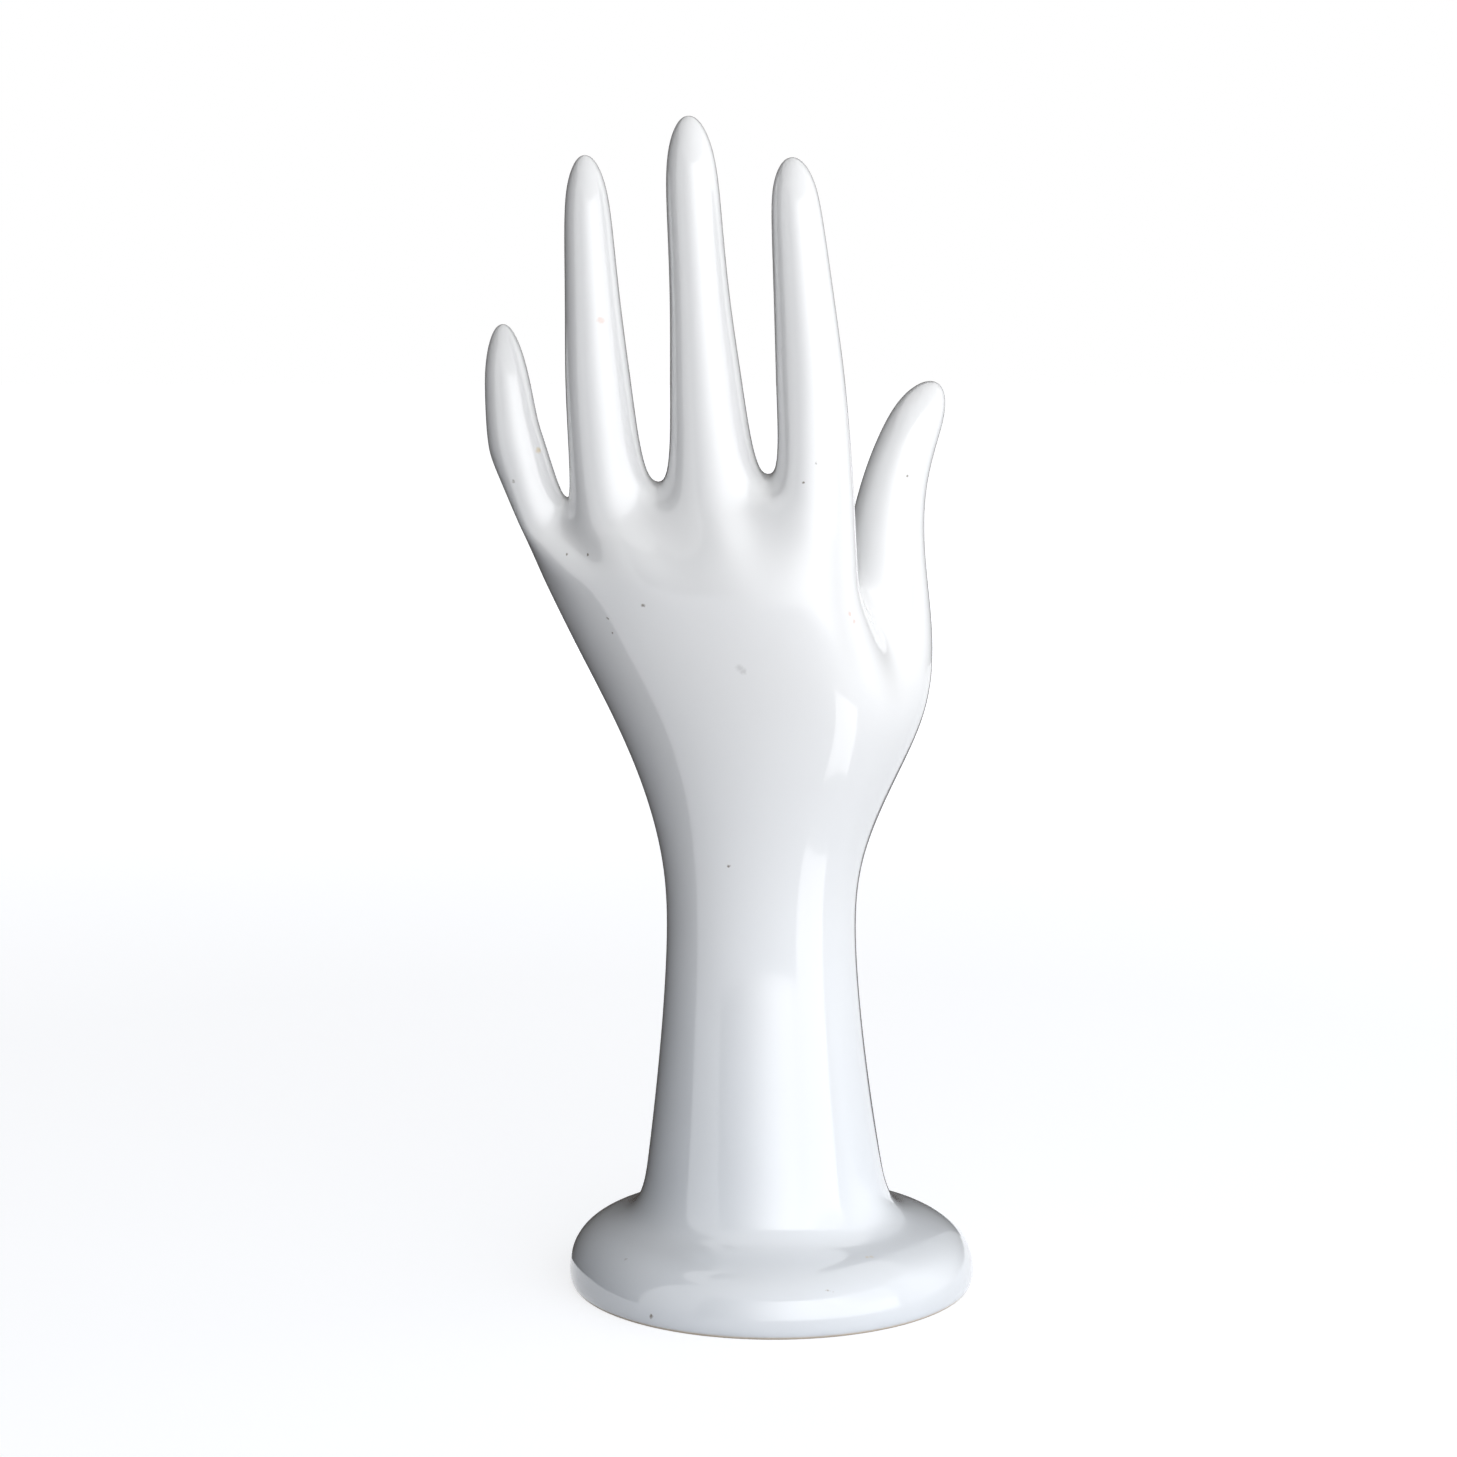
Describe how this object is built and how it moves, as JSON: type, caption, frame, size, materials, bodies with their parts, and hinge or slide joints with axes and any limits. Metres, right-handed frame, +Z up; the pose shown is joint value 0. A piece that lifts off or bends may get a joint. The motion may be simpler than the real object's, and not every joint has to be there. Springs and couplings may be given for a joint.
{
  "type": "hand jewelry stand",
  "caption": "Standing ceramic hand that holds rings on its fingers and bracelets round its wrist, on a round domed foot, hollow from underneath.",
  "frame": {"origin": "middle of the box that holds the part, on the plane that the foot stands on", "axes": "+Z runs up from the foot to the fingertips, -Y is the side that the back of the hand faces, +X is the thumb's side"},
  "size_m": [0.1192, 0.0998, 0.2833],
  "materials": {
    "glazed_ceramic": "smooth white glaze with a high gloss, bare ring under the foot"
  },
  "bodies": {
    "root": {"hand_stand": "glazed_ceramic"}
  },
  "joints": []
}
